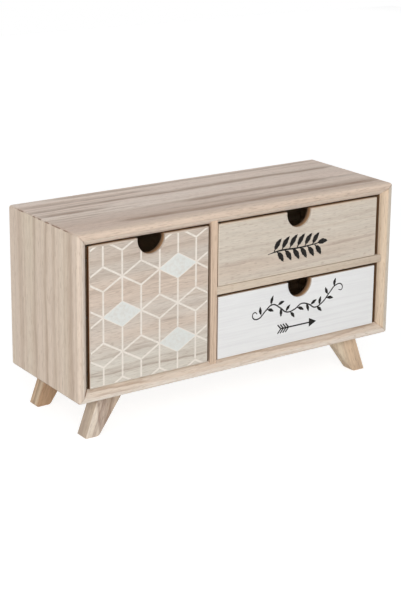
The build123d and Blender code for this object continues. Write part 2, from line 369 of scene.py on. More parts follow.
BOARDS = {
    "top_panel": dict(
        slot="case_wood", tones=TOP_TONES, grain="X", heart=(-20.0, 70.0, 40.0),
        ring=11.0, bend=26.0, wobble=3.0, streaks=0.6, late=0.3, along="x", across="y",
        bands=(
            (49.0, 0.0, 6.0, 0.6, -120.0, 155.0),
            (35.5, 0.0, 6.5, 0.8, -160.0, -40.0),
            (28.0, 0.0, 3.5, 0.4, -160.0, -60.0),
            (21.5, 0.012, 8.5, 0.95, -160.0, 155.0),
            (13.0, 0.0, 3.5, 0.5, -160.0, -85.0),
            (4.5, 0.0, 8.0, 1.0, -160.0, -98.0),
            (-3.0, 0.0, 3.5, 0.35, -150.0, -80.0),
            (-8.5, 0.0, 5.0, 0.55, -147.0, -110.0),
            (-13.5, 0.0, 10.0, 0.8, -30.0, 112.0),
            (-26.0, 0.02, 5.0, 0.35, -60.0, 60.0),
            (-39.0, 0.0, 12.0, 0.95, -108.0, 155.0),
        ),
        zones=(
            ("y", -15.0, -38.0, 0.5, "#c1a896"),
            ("y", -44.0, -53.0, 0.85, "#e4d0be"),
            # Painted light: this zone makes the lower half of the board paler, round the
            # mouth's bevel.
            ("z", 168.8, 167.2, 0.8, "#f4e6d8"),
        ),
    ),
    "bottom_panel": dict(
        slot="case_wood", tones=BOTTOM_TONES, grain="X", heart=(90.0, 60.0, 900.0),
        ring=8.0, bend=16.0, wobble=2.0, streaks=0.35, late=0.2, along="x", across="z",
        bands=(
            (42.0, 0.0, 2.0, 0.6, -150.0, -92.0),
            (40.4, 0.012, 1.6, 0.5, -150.0, -104.0),
            (42.6, -0.004, 2.0, 0.5, -40.0, 150.0),
            (37.0, 0.0, 1.6, 0.3, -120.0, 60.0),
        ),
        zones=(("z", 38.4, 40.4, 0.55, "#d8c4b0"),),
    ),
    "left_side_panel": dict(
        slot="case_wood", tones=SIDE_TONES, grain="Z", heart=(190.0, 260.0, 300.0),
        ring=9.0, bend=9.0, wobble=1.5, streaks=0.35, late=0.22, along="z", across="y",
        bands=(
            (35.0, 0.0, 9.0, 0.4, 0.0, 200.0),
            (12.9, 0.0, 6.0, 0.6, 0.0, 200.0),
            (-6.7, 0.0, 6.0, 0.6, 0.0, 200.0),
            (-20.0, 0.0, 7.0, 0.4, 0.0, 200.0),
            (-46.0, 0.0, 11.0, 0.6, 0.0, 200.0),
        ),
        # Painted light: this zone makes the inner half of the board paler, round the mouth's
        # bevel.
        zones=(("x", -156.6, -155.0, 0.85, "#f6ebdf"),),
    ),
    "right_side_panel": dict(
        slot="case_wood", tones=RIGHT_TONES, grain="Z", heart=(-330.0, 210.0, 700.0),
        ring=7.5, bend=9.0, wobble=1.5, streaks=0.35, late=0.3,
        zones=(("x", 154.6, 156.4, 0.85, "#d0cbc0"),),
    ),
    "divider": dict(
        slot="case_wood", tones=DIVIDER_TONES, grain="Z", heart=(120.0, 160.0, 1300.0),
        ring=6.0, bend=9.0, wobble=1.5, streaks=0.4, late=0.3, along="z", across="x",
        bands=(
            (-31.8, 0.0, 1.5, 0.28, 30.0, 175.0),
            (-29.6, 0.004, 1.3, 0.45, 30.0, 112.0),
            (-27.6, 0.0, 1.0, 0.3, 70.0, 165.0),
        ),
    ),
    "shelf": dict(
        slot="case_wood", tones=SHELF_TONES, grain="X", heart=(150.0, 190.0, 1700.0),
        ring=6.0, bend=9.0, wobble=1.5, streaks=0.4, late=0.3,
    ),
    "back_panel": dict(
        slot="back_plywood", tones=PLY_TONES, grain="X", heart=(130.0, 20.0, 2100.0),
        ring=17.0, bend=60.0, wobble=4.0, streaks=0.4, late=0.45,
    ),
}
for place, leg in enumerate(("front_left", "front_right", "back_left", "back_right")):
    lean = math.radians(-20 if "left" in leg else 20)
    BOARDS[leg + "_leg"] = dict(
        slot="leg_wood", tones=LEG_TONES[leg], grain="Z", tilt=(0.0, lean, 0.0),
        heart=(60.0 + 35.0 * place, 45.0 - 20.0 * place, 400.0 * place),
        ring=8.0, bend=9.0, wobble=2.0, streaks=0.6, late=0.5,
    )
# Painted shade: on the front left leg these bands and the zone darken its shaded facets and
# its top under the case.
BOARDS["front_left_leg"].update(
    streaks=0.45, along="z", across="x",
    bands=(
        (-153.6, 0.394, 4.5, 0.85, 5.0, 60.0),
        (-135.0, 0.0, 5.0, 0.6, -4.0, 60.0),
        (-131.0, 0.0, 14.0, 0.5, -4.0, 60.0),
    ),
    zones=(("y", -46.0, -44.6, 0.35, "#97805f"),),
)
# Painted shade: this zone darkens the front facet of the back left leg.
BOARDS["back_left_leg"]["zones"] = (("y", 40.0, 35.5, 0.6, "#c69c76"),)

# Painted shade: the front ends of the drawers' sides show in the gaps and are darkened as
# brown as the fronts' ends.

FRONT_END_PAINTED_SHADE = ("y", -45.5, -50.5, 0.85, END_DEEP_SHADE)
LOG_SPACING = 500.0

for place, name in enumerate(("left", "upper", "lower")):
    shared = dict(
        slot="drawer_box_wood", tones=BOX_TONES,
        ring=7.0, bend=10.0, wobble=1.5, streaks=0.4, late=0.4,
    )
    further = LOG_SPACING * place
    BOARDS[name + "_drawer_left_side"] = dict(
        shared, grain="Y", heart=(140.0, 90.0 + further, 2500.0), zones=(FRONT_END_PAINTED_SHADE,)
    )
    BOARDS[name + "_drawer_right_side"] = dict(
        shared, grain="Y", heart=(-160.0, 120.0 + further, 2900.0), zones=(FRONT_END_PAINTED_SHADE,)
    )
    BOARDS[name + "_drawer_back"] = dict(
        shared, grain="X", heart=(90.0 + further, 150.0, 3300.0)
    )
    BOARDS[name + "_drawer_bottom"] = dict(
        shared, slot="drawer_plywood", grain="X", heart=(20.0, 60.0 + further, 3700.0)
    )


# Painted shade: inside the mouth the case's wood is darkened to an amber brown, strongest
# in the gaps round the drawers and fainter further in.

INSIDE_PAINTED_SHADE = "#755639"
MOUTH_DEPTH = 5.6
INSIDE_SHADE_BEGINS = (MOUTH_DEPTH - 0.3, MOUTH_DEPTH + 0.9)
INSIDE_SHADE_FADE = 45.0
INSIDE_SHADE_SHARES = (0.95, 0.35)
INSIDE_MARGIN = 0.3


def painted_inside_shade(tree):
    """How much painted shade browns the case's wood, by how far it lies inside the mouth."""
    places = object_millimetres(tree)
    depth = add(tree, "Math", places["y"], CASE_LOW.y, operation="SUBTRACT")
    begins = add(tree, "MapRange", depth, *INSIDE_SHADE_BEGINS, **SMOOTH)
    fades = add(tree, "MapRange", depth, MOUTH_DEPTH, INSIDE_SHADE_FADE, *INSIDE_SHADE_SHARES, **SMOOTH)
    raw = add(tree, "Math", begins, fades, operation="MULTIPLY")
    for letter, middle, half in (
        ("x", 0.0, CASE_HALF_WIDTH),
        ("z", CASE_MIDDLE, CASE_HALF_HEIGHT),
    ):
        aside = add(tree, "Math", places[letter], middle, operation="SUBTRACT")
        aside = add(tree, "Math", aside, operation="ABSOLUTE")
        inner_half = half - BOARD + INSIDE_MARGIN
        inside = add(tree, "Math", aside, inner_half, operation="LESS_THAN")
        raw = add(tree, "Math", raw, inside, operation="MULTIPLY")
    return raw


# Mitre seams: a fine brown line where the ends of two case boards meet. It comes and goes
# along the joint, is fainter at the front, and gapes behind the lower left corner's edge.

SEAM_BROWN = "#7c5c46"
SEAM_HALF_WIDTHS = (0.28, 1.12)
SEAM_BLOTS_PER_MM = 0.13
SEAM_BLOTS = (0.42, 0.55)
FAINTEST_SEAM = 0.12
SEAM_FRONT_DEPTHS = (2.0, 12.0)
SEAM_FRONT_SHARES = (0.3, 0.85)
GAPE_CORNER = (-190.0, -205.0)
GAPE_DEPTHS = (0.8, 1.8)


def mitre_seam(tree):
    """1 on the plane in which two boards of the case meet, seen as a fine line."""
    placed = add(tree, "TexCoord", output="Object")
    centre = (0.0, 0.0, -CASE_MIDDLE)
    centred = add(tree, "Mapping", placed, Location=centre, Scale=(1 / MM,) * 3)
    right, back, up = add(tree, "SeparateXYZ", centred).node.outputs
    outward = add(tree, "VectorMath", centred, operation="ABSOLUTE")
    aside, _, level = add(tree, "SeparateXYZ", outward).node.outputs
    longer = CASE_HALF_WIDTH - CASE_HALF_HEIGHT
    away = add(tree, "Math", aside, longer, operation="SUBTRACT")
    away = add(tree, "Math", away, level, operation="SUBTRACT")
    away = add(tree, "Math", away, operation="ABSOLUTE")
    line = add(tree, "MapRange", away, *SEAM_HALF_WIDTHS, 1.0, 0.0, **SMOOTH)

    blots = add(
        tree, "TexNoise", centred, Scale=SEAM_BLOTS_PER_MM, Detail=1.0, output="Fac"
    )
    strength = add(tree, "MapRange", blots, *SEAM_BLOTS, FAINTEST_SEAM, 1.0, **SMOOTH)
    depths = [CASE_LOW.y + depth for depth in SEAM_FRONT_DEPTHS]
    fainter = add(tree, "MapRange", back, *depths, *SEAM_FRONT_SHARES, **SMOOTH)
    strength = add(tree, "Math", strength, fainter, operation="MULTIPLY")

    diagonal = add(tree, "Math", right, up, operation="ADD")
    corner = add(tree, "MapRange", diagonal, *GAPE_CORNER, **SMOOTH)
    depths = [CASE_LOW.y + depth for depth in GAPE_DEPTHS]
    bevel = add(tree, "MapRange", back, *depths, **SMOOTH)
    gapes = add(tree, "Math", corner, bevel, operation="MULTIPLY")
    strength = add(tree, "Math", strength, gapes, operation="MAXIMUM")
    return add(tree, "Math", line, strength, operation="MULTIPLY")


SANDED_ROUGHNESS = (0.62, 0.74)
SANDED_RELIEF = 0.05


def bare_board(node, cut):
    """Sanded bare paulownia: dull, silky, with faint open pores."""
    material, tree = new_material("sanded_paulownia_" + node)
    colour, relief, fibre = sawn_paulownia(tree, cut)
    raw = None
    if cut["slot"] == "case_wood":
        # The case's wood inside the mouth is darkened by painted shade.
        raw = painted_inside_shade(tree)
        colour = add(tree, "MixRGB", raw, colour, linear(INSIDE_PAINTED_SHADE))
        if node.endswith("panel"):
            colour = add(tree, "MixRGB", mitre_seam(tree), colour, linear(SEAM_BROWN))
    roughness = add(tree, "MapRange", fibre, *FIBRES, *SANDED_ROUGHNESS, **SMOOTH)
    finish(material, colour, relief, roughness, SANDED_RELIEF, raw=raw)
    return material


# Drawer fronts

FRONTS = {
    "left": dict(
        tones=LEFT_TONES, grain="X", heart=(-60.0, 95.0, 5000.0), tilt=(0.0, 0.03, 0.0),
        ring=13.0, bend=22.0, wobble=3.0, streaks=0.55, late=0.2, along="x", across="z",
        bands=(
            (53.6, -0.01, 2.2, 0.6, -160.0, -30.0),
            (61.0, 0.02, 2.5, 0.3, -150.0, -60.0),
            (69.0, 0.0, 3.0, 0.5, -130.0, -88.0),
            (75.5, 0.03, 2.5, 0.3, -110.0, -40.0),
            (88.0, -0.02, 3.5, 0.5, -86.0, -62.0),
            (104.0, 0.03, 4.0, 0.3, -150.0, -100.0),
            (124.0, -0.02, 4.0, 0.28, -90.0, -36.0),
        ),
        zones=(("z", 84.0, 58.0, 0.6, "#dad8ce"), ("z", 118.0, 156.0, 0.3, "#b2a99f")),
    ),
    "upper": dict(
        tones=UPPER_TONES, grain="X", heart=(60.0, 130.0, 5600.0),
        ring=10.0, bend=14.0, wobble=2.0, streaks=0.4, late=0.14, along="x", across="z",
        bands=(
            (137.5, 0.0, 3.0, 0.4, -27.0, 30.0),
            (125.5, 0.01, 3.5, 0.5, -27.0, 24.0),
            (124.5, 0.02, 3.5, 0.5, 85.0, 145.0),
            (148.0, 0.01, 3.5, 0.25, 75.0, 145.0),
            (113.0, 0.01, 3.0, 0.3, -20.0, 120.0),
        ),
    ),
    "lower": dict(
        tones=UPPER_TONES, grain="X", heart=(30.0, 160.0, 6200.0),
        ring=10.0, bend=14.0, wobble=2.0, streaks=0.4, late=0.3,
    ),
}

# Where the painted shade on a front's cut edges begins and ends. Its two ends are told
# from its notch by their place across the front, and its back face stays pale.

END_BEGINS = 0.6
END_FULL = 0.4
SHADE_SOFT = 0.8
DEEPEST_SHADE = 5.0
BACK_BEGINS = 0.3
BACK_FULL = 0.1


def shaded_cut_edges(tree, node, colour):
    """A drawer front's colour with painted shade on its cut edges, and the shade's share."""
    low, high = box_mm(node)
    places = object_millimetres(tree)
    half_width = (high.x - low.x) / 2
    thickness = high.y - low.y
    aside = add(tree, "Math", places["x"], (low.x + high.x) / 2, operation="SUBTRACT")
    aside = add(tree, "Math", aside, operation="ABSOLUTE")
    end = add(
        tree, "MapRange", aside, half_width - END_BEGINS, half_width - END_FULL, **SMOOTH
    )
    depth = add(tree, "Math", places["y"], low.y, operation="SUBTRACT")
    rim = add(tree, "MapRange", end, 0.0, 1.0, NOTCH_RIM, END_RIM, **SMOOTH)
    behind_rim = add(tree, "Math", depth, rim, operation="SUBTRACT")

    deeper = add(tree, "MapRange", behind_rim, 0.0, DEEPEST_SHADE, **SMOOTH)
    notch_shade_colour = add(tree, "MixRGB", deeper, linear(NOTCH_SHADE), linear(NOTCH_DEEP_SHADE))
    end_shade_colour = add(tree, "MixRGB", deeper, linear(END_SHADE), linear(END_DEEP_SHADE))
    edge_shade_colour = add(tree, "MixRGB", end, notch_shade_colour, end_shade_colour)

    begins = add(tree, "MapRange", behind_rim, 0.0, SHADE_SOFT, **SMOOTH)
    stops = add(
        tree, "MapRange", depth, thickness - BACK_BEGINS, thickness - BACK_FULL, 1.0, 0.0,
        **SMOOTH,
    )
    most = add(tree, "MapRange", end, 0.0, 1.0, NOTCH_SHARE, END_SHARE, **SMOOTH)
    share = add(tree, "Math", begins, stops, operation="MULTIPLY")
    share = add(tree, "Math", share, most, operation="MULTIPLY")
    return add(tree, "MixRGB", share, colour, edge_shade_colour), share


EDGE_FULL = 0.2


def edge_nearness(tree, node, reach):
    """1 on the edges of a board, falling to 0 this far from them."""
    low, high = box_mm(node)
    centre = (low + high) / 2
    half = (high - low) / 2
    placed = add(tree, "TexCoord", output="Object")
    centred = add(tree, "Mapping", placed, Location=-centre, Scale=(1 / MM,) * 3)
    outward = add(tree, "VectorMath", centred, operation="ABSOLUTE")
    inward = add(tree, "VectorMath", half, outward, operation="SUBTRACT")
    apart = add(tree, "SeparateXYZ", inward).node.outputs
    nearest = add(tree, "Math", apart[0], apart[1], operation="MINIMUM")
    further = add(tree, "Math", apart[0], apart[1], operation="MAXIMUM")
    other = add(tree, "Math", further, apart[2], operation="MINIMUM")
    second = add(tree, "Math", nearest, other, operation="MAXIMUM")
    return add(tree, "MapRange", second, reach * EDGE_FULL, reach, 1.0, 0.0, **SMOOTH)


def arris_highlights(tree, node, colour, reach, share, shade):
    """A front's colour with this share of a shade on its arrises, as a painted highlight."""
    edge = edge_nearness(tree, node, reach)
    edge = add(tree, "Math", edge, share, operation="MULTIPLY")
    return add(tree, "MixRGB", edge, colour, linear(shade))


# The lattice on the left drawer: stars of six spokes, which read as tumbling blocks. A
# star's column and row are half of the distance at which it repeats.

COLUMN = 17.57
ROW = 31.4
SPOKE = 20.9
LINE_WIDTH = 1.55
LINE_SOFT = 0.3
LINE_WEAR = 0.5
FIRST_STAR_FROM_LEFT = 30.2
FIRST_STAR_FROM_TOP = 28.2
FILLED_CELLS = ((0, 1), (3, 0), (3, 2))
FILL_EDGE = (0.98, 1.04)


def lattice_lines(tree, flat, star, fibre):
    """1 on the lattice's lines, worn a little by the fibres under them.

    The stars make two lattices, each shifted half a cell from the other. The spokes of
    the nearest star are the only lines near a point."""
    cell_high = (COLUMN, ROW, 1.0)
    cell_low = (-COLUMN, -ROW, -1.0)
    local = []
    for corner in (star, (star[0] + COLUMN, star[1] + ROW)):
        moved = add(tree, "VectorMath", flat, (*corner, 0.0), operation="SUBTRACT")
        local.append(add(
            tree, "VectorMath", moved, cell_high, cell_low, operation="WRAP"
        ))
    reach = [
        add(tree, "VectorMath", place, operation="LENGTH", output="Value") for place in local
    ]
    first_nearer = add(tree, "Math", reach[0], reach[1], operation="LESS_THAN")
    nearest = add(
        tree, "Mix", first_nearer, None, None, None, local[1], local[0],
        data_type="VECTOR", output=1,
    )
    away = SPOKE
    for turn in (0, 60, 120):
        across_spoke = (math.cos(math.radians(turn)), math.sin(math.radians(turn)), 0.0)
        off = add(
            tree, "VectorMath", nearest, across_spoke, operation="DOT_PRODUCT", output="Value"
        )
        off = add(tree, "Math", off, operation="ABSOLUTE")
        away = add(tree, "Math", away, off, operation="MINIMUM")
    worn = add(tree, "Math", fibre, LINE_WEAR, away, operation="MULTIPLY_ADD")
    half = (LINE_WIDTH + LINE_WEAR) / 2
    return add(
        tree, "MapRange", worn, half - LINE_SOFT, half + LINE_SOFT, 1.0, 0.0, **SMOOTH
    )


def filled_cells(tree, flat, star):
    """1 inside the rhombi that are filled with ink."""
    filled = 0.0
    for column, row in FILLED_CELLS:
        middle = (star[0] + column * COLUMN, star[1] - row * ROW, 0.0)
        moved = add(tree, "VectorMath", flat, middle, operation="SUBTRACT")
        scaled = add(
            tree, "VectorMath", moved, (1 / COLUMN, 2 / SPOKE, 0.0), operation="MULTIPLY"
        )
        spread = add(tree, "VectorMath", scaled, operation="ABSOLUTE")
        outward = add(
            tree, "VectorMath", spread, (1.0, 1.0, 0.0), operation="DOT_PRODUCT",
            output="Value",
        )
        inside = add(tree, "MapRange", outward, *FILL_EDGE, 1.0, 0.0, **SMOOTH)
        filled = add(tree, "Math", filled, inside, operation="MAXIMUM")
    return filled


# Printed drawer front. The ink covers unevenly, the filled cells a little less than the
# lines, and stops short of the edges.

# Painted highlight on the arrises
PRINTED_ARRIS_HIGHLIGHT = "#ddcdbb"
LINE_CREAM = "#f0eae2"
FILL_WHITE = "#e3e7e5"
LINE_COVER = (0.3, 0.62, 0.74, 1.0)
FILL_COVER = (0.3, 0.65, 0.72, 0.97)
INK_BLOTS_PER_MM = 0.35
PRINT_MARGIN = 0.9
PRINT_SOFT = 0.3
PRINT_DEPTHS = (0.3, 0.5)
FRONT_ROUGHNESS = 0.66


def patterned_front():
    """Bare paulownia with a screen-printed lattice on its face, off-white and thin."""
    node = "left_drawer_front"
    material, tree = new_material("printed_paulownia")
    colour, relief, fibre = sawn_paulownia(tree, FRONTS["left"])
    colour = arris_highlights(
        tree, node, colour, reach=1.2, share=0.35, shade=PRINTED_ARRIS_HIGHLIGHT
    )
    colour, raw = shaded_cut_edges(tree, node, colour)

    low, high = box_mm(node)
    places = object_millimetres(tree)
    depths = [low.y + depth for depth in PRINT_DEPTHS]
    area = add(tree, "MapRange", places["y"], *depths, 1.0, 0.0, **SMOOTH)
    for letter, start, end in (("x", low.x, high.x), ("z", low.z, high.z)):
        start, end = start + PRINT_MARGIN, end - PRINT_MARGIN
        inner = within(tree, places[letter], start, end, PRINT_SOFT)
        area = add(tree, "Math", area, inner, operation="MULTIPLY")

    star = (low.x + FIRST_STAR_FROM_LEFT, high.z - FIRST_STAR_FROM_TOP)
    flat = add(tree, "CombineXYZ", places["x"], places["z"], 0.0)
    placed = add(tree, "TexCoord", output="Object")
    blots = add(
        tree, "TexNoise", placed, Scale=INK_BLOTS_PER_MM / MM, Detail=3.0, output="Fac"
    )
    for shape, cover, shade in (
        (lattice_lines(tree, flat, star, fibre), LINE_COVER, LINE_CREAM),
        (filled_cells(tree, flat, star), FILL_COVER, FILL_WHITE),
    ):
        covered = add(tree, "MapRange", blots, *cover, **SMOOTH)
        share = add(tree, "Math", shape, covered, operation="MULTIPLY")
        share = add(tree, "Math", share, area, operation="MULTIPLY")
        colour = add(tree, "MixRGB", share, colour, linear(shade))
    finish(material, colour, relief, FRONT_ROUGHNESS, SANDED_RELIEF, raw=raw)
    return material


# Painted highlight on the arrises
PLAIN_ARRIS_HIGHLIGHT = "#e0d2bf"


def plain_front():
    """Bare paulownia, sanded, with painted highlights on its arrises."""
    node = "upper_drawer_front"
    material, tree = new_material("sanded_paulownia_" + node)
    colour, relief, _ = sawn_paulownia(tree, FRONTS["upper"])
    colour = arris_highlights(tree, node, colour, reach=1.6, share=0.6, shade=PLAIN_ARRIS_HIGHLIGHT)
    colour, raw = shaded_cut_edges(tree, node, colour)
    finish(material, colour, relief, FRONT_ROUGHNESS, SANDED_RELIEF, raw=raw)
    return material


# Painted drawer front. The paint ends a little way round the edges, and a line of painted
# shade runs brown down the left arris.

PAINT_WHITE = "#eef0f1"
PAINT_BRUSHED = "#e7e8ea"
# Painted highlight on the arrises
PAINT_ARRIS_HIGHLIGHT = "#f3f3f1"
BRUSH_MARK_SIZE = (1.6, 60.0)
BRUSH_MARKS = (0.3, 0.75)
PAINT_DEPTHS = (0.6, 0.9)
PAINT_ROUGHNESS = 0.5
PAINT_RELIEF = 0.03
SHADE_LINE_WIDTHS = (0.25, 0.85)
SHADE_LINE_SHARE = 0.8


def painted_front():
    """Thin white paint that lets the grain show, with a line of painted shade down the left
    arris.
    """
    node = "lower_drawer_front"
    material, tree = new_material("white_painted_paulownia")
    wood, relief, _ = sawn_paulownia(tree, FRONTS["lower"])
    wood, raw = shaded_cut_edges(tree, node, wood)
    position = log_position(tree, FRONTS["lower"])
    brushed = stretched_noise(tree, position, BRUSH_MARK_SIZE, detail=3.0, roughness=0.6)
    tone = add(tree, "MapRange", brushed, *BRUSH_MARKS, **SMOOTH)
    paint = add(tree, "MixRGB", tone, linear(PAINT_WHITE), linear(PAINT_BRUSHED))
    paint = arris_highlights(tree, node, paint, reach=1.2, share=1.0, shade=PAINT_ARRIS_HIGHLIGHT)

    low = box_mm(node)[0]
    places = object_millimetres(tree)
    depths = [low.y + depth for depth in PAINT_DEPTHS]
    painted = add(tree, "MapRange", places["y"], *depths, 1.0, 0.0, **SMOOTH)
    colour = add(tree, "MixRGB", painted, wood, paint)
    widths = [low.x + width for width in SHADE_LINE_WIDTHS]
    shade_line = add(tree, "MapRange", places["x"], *widths, SHADE_LINE_SHARE, 0.0, **SMOOTH)
    colour = add(tree, "MixRGB", shade_line, colour, linear(END_SHADE))
    finish(material, colour, relief, PAINT_ROUGHNESS, PAINT_RELIEF, raw=raw)
    return material


STEEL_DARK = "#a9a8a5"
STEEL_LIGHT = "#c4c3c0"
STEEL_ROUGHNESS = (0.28, 0.42)
SCRATCHES_PER_MM = 2.5
SCRATCHES = (0.3, 0.7)
SCRATCH_RELIEF = 0.01


def drawn_steel():
    """Drawn steel wire and screws: grey, satin, with fine scratches."""
    material, tree = new_material("drawn_steel")
    placed = add(tree, "TexCoord", output="Object")
    scratches = add(
        tree, "TexNoise", placed, Scale=SCRATCHES_PER_MM / MM, Detail=2.0, output="Fac"
    )
    roughness = add(tree, "MapRange", scratches, *SCRATCHES, *STEEL_ROUGHNESS, **SMOOTH)
    colour = add(tree, "MixRGB", scratches, linear(STEEL_DARK), linear(STEEL_LIGHT))
    normal = add(
        tree, "Bump", Height=scratches, Strength=1.0, Distance=SCRATCH_RELIEF * MM
    )
    surface = add(
        tree, "BsdfPrincipled",
        Base_Color=colour, Roughness=roughness, Normal=normal, Metallic=1.0,
    )
    add(tree, "OutputMaterial", surface, output=None)
    return material


def dress(node, material):
    """Gives a piece of the frame its finished material."""
    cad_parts[node].material_slots[0].material = material


# Boards with eased arrises. Each is a copy of its piece of the frame, merged to whole
# faces, whose sharp edges are sanded round; two boards that meet then show a fine V.


def only(piece):
    """Selects one object and nothing else."""
    bpy.ops.object.select_all(action="DESELECT")
    piece.select_set(True)
    bpy.context.view_layer.objects.active = piece


def open_whole(piece):
    """Opens one object in edit mode with all of its mesh selected."""
    only(piece)
    bpy.ops.object.mode_set(mode="EDIT")
    bpy.ops.mesh.select_all(action="SELECT")


def apply_modifier(piece, name, kind, **settings):
    """Adds a modifier with these settings and applies it."""
    modifier = piece.modifiers.new(name, kind)
    for setting, value in settings.items():
        setattr(modifier, setting, value)
    only(piece)
    bpy.ops.object.modifier_apply(modifier=name)


def body_of(node):
    """The body that a piece moves with: its drawer, or else the case."""
    name, drawer, _ = node.partition("_drawer")
    return name + drawer if drawer else "case"


WELD_DISTANCE = 0.01
FLAT_ANGLE = math.radians(0.4)
ARRIS_ANGLE = math.radians(40)
SMOOTH_ANGLE = math.radians(28)


def ease_arrises(node, material, width):
    """Replaces a piece of the frame by a copy with its arrises sanded to this width."""
    name = node + "_eased"
    piece = bpy.data.objects.new(name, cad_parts[node].data.copy())
    bpy.context.scene.collection.objects.link(piece)
    open_whole(piece)
    bpy.ops.mesh.remove_doubles(threshold=WELD_DISTANCE * MM)
    bpy.ops.mesh.customdata_custom_splitnormals_clear()
    bpy.ops.mesh.dissolve_limited(angle_limit=FLAT_ANGLE)
    bpy.ops.object.mode_set(mode="OBJECT")
    apply_modifier(
        piece, "eased_arrises", "BEVEL", width=width * MM, segments=2,
        limit_method="ANGLE", angle_limit=ARRIS_ANGLE, harden_normals=False,
    )
    bpy.ops.object.shade_smooth_by_angle(angle=SMOOTH_ANGLE)
    piece.material_slots[0].material = material
    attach(piece, body_of(node))
    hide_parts(node)


CASE_ARRIS = 0.25
LEG_ARRIS = 0.5
FRONT_ARRIS = 0.5
BOX_ARRIS = 0.3
KEPT_AS_THEY_ARE = ("back_panel", "left_drawer_bottom", "upper_drawer_bottom",
                    "lower_drawer_bottom")

for board, cut in BOARDS.items():
    material = bare_board(board, cut)
    if board in KEPT_AS_THEY_ARE:
        dress(board, material)
        continue
    width = {"case_wood": CASE_ARRIS, "leg_wood": LEG_ARRIS}.get(cut["slot"], BOX_ARRIS)
    ease_arrises(board, material, width)

ease_arrises("left_drawer_front", patterned_front(), FRONT_ARRIS)
ease_arrises("upper_drawer_front", plain_front(), FRONT_ARRIS)
ease_arrises("lower_drawer_front", painted_front(), FRONT_ARRIS)

steel = drawn_steel()
for fixing in ("back_panel_brads", "leg_screws", "left_drawer_brads", "upper_drawer_brads",
               "lower_drawer_brads"):
    dress(fixing, steel)


# Ornaments: printed in dark ink, which stands a hair proud of the wood

INK_BLACK = "#100e0c"
INK_THIN = "#221e1b"
INK_FIBRES_PER_MM = (0.06, 0.5, 0.8)
INK_FIBRES = (0.45, 0.7)
INK_ROUGHNESS = 0.75
INK_RELIEF = 0.02
INK_IOR = 1.33


def charcoal_ink():
    """Charcoal screen ink on wood: nearly black, dull, thin over the fibres."""
    material, tree = new_material("charcoal_ink")
    placed = add(tree, "TexCoord", output="Object")
    squeezed = tuple(each / MM for each in INK_FIBRES_PER_MM)
    stretched = add(tree, "VectorMath", placed, squeezed, operation="MULTIPLY")
    fibre = add(tree, "TexNoise", stretched, Scale=1.0, Detail=3.0, output="Fac")
    thin = add(tree, "MapRange", fibre, *INK_FIBRES, **SMOOTH)
    colour = add(tree, "MixRGB", thin, linear(INK_BLACK), linear(INK_THIN))
    finish(material, colour, fibre, INK_ROUGHNESS, INK_RELIEF, ior=INK_IOR)
    return material


INK_THICKNESS = 0.06
INK_LAYER = 0.006
INK_LAYERS = 4
INK_WELD = 0.002
STROKE_STEPS = 6
CURVED = "AUTO"
STRAIGHT = "VECTOR"


def ribbons(name, strokes):
    """A mesh of level ribbons without thickness, one for each stroke.

    A stroke is a list of points (x, z, width) and the kind of line that joins them.
    Strokes take turns on a few thin layers, so that those that cross share no face."""
    bpy.ops.object.select_all(action="DESELECT")
    bpy.ops.curve.primitive_bezier_curve_add()
    piece = bpy.context.object
    piece.name = name
    curve = piece.data
    curve.name = name
    curve.splines.clear()
    curve.dimensions = "3D"
    curve.resolution_u = STROKE_STEPS
    curve.extrude = MM / 2
    for number, (points, line) in enumerate(strokes):
        layer = INK_LAYER * (number % INK_LAYERS)
        spline = curve.splines.new("BEZIER")
        spline.radius_interpolation = "LINEAR" if line == STRAIGHT else "EASE"
        spline.bezier_points.add(len(points) - 1)
        for knot, (x, z, width) in zip(spline.bezier_points, points):
            knot.co = (x * MM, z * MM, layer * MM)
            knot.handle_left_type = knot.handle_right_type = line
            knot.radius = width
            knot.tilt = math.pi / 2
    only(piece)
    bpy.ops.object.convert(target="MESH")
    return piece


def print_ornament(name, strokes, body, ink):
    """Flat strokes of ink on the front of a drawer."""
    piece = ribbons(name, strokes)
    face = box_mm(body + "_front")[0].y
    piece.data.transform(Matrix.Rotation(math.pi / 2, 4, "X"))
    piece.data.transform(Matrix.Translation((0.0, face * MM, 0.0)))
    piece.data.update()
    open_whole(piece)
    bpy.ops.mesh.remove_doubles(threshold=INK_WELD * MM)
    bpy.ops.object.mode_set(mode="OBJECT")
    apply_modifier(piece, "ink", "SOLIDIFY", thickness=INK_THICKNESS * MM, offset=0.0)
    open_whole(piece)
    bpy.ops.mesh.normals_make_consistent(inside=False)
    bpy.ops.object.mode_set(mode="OBJECT")
    piece.data.materials.append(ink)
    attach(piece, body)


# A leaf's widths: how far along the leaf, and which share of its full width

LEAF_SHAPE = ((0.0, 0.18), (0.12, 0.22), (0.32, 0.8), (0.55, 1.0), (0.8, 0.6), (1.0, 0.04))
LEAF_BOW = 0.06
LEAST_WIDTH = 0.05


def leaf(x, z, angle, length, width):
    """A slender leaf from its foot, pointing this many degrees up from +X."""
    turn = math.radians(angle)
    points = []
    for part, share in LEAF_SHAPE:
        reach = part * length
        off = LEAF_BOW * length * math.sin(math.pi * part)
        points.append((
            x + reach * math.cos(turn) - off * math.sin(turn),
            z + reach * math.sin(turn) + off * math.cos(turn),
            max(share * width, LEAST_WIDTH),
        ))
    return points, CURVED


BRANCH_LEVEL = 129.6
BRANCH_PAIRS = 6
BRANCH_FIRST_PAIR = 32.0
BRANCH_PAIR_SPACING = 8.2
BRANCH_WAVE = 0.3
BRANCH_LEAF_WIDTH = 4.9
BRANCH_LEAF_ANGLE = 54.0
LONGEST_LEAF = 14.6
LONGEST_LEAF_PAIR = 2.2
LEAF_SHORTENS = 0.6
LOWER_LEAF_SHIFT = 2.6
LOWER_LEAF_SHARE = 0.96


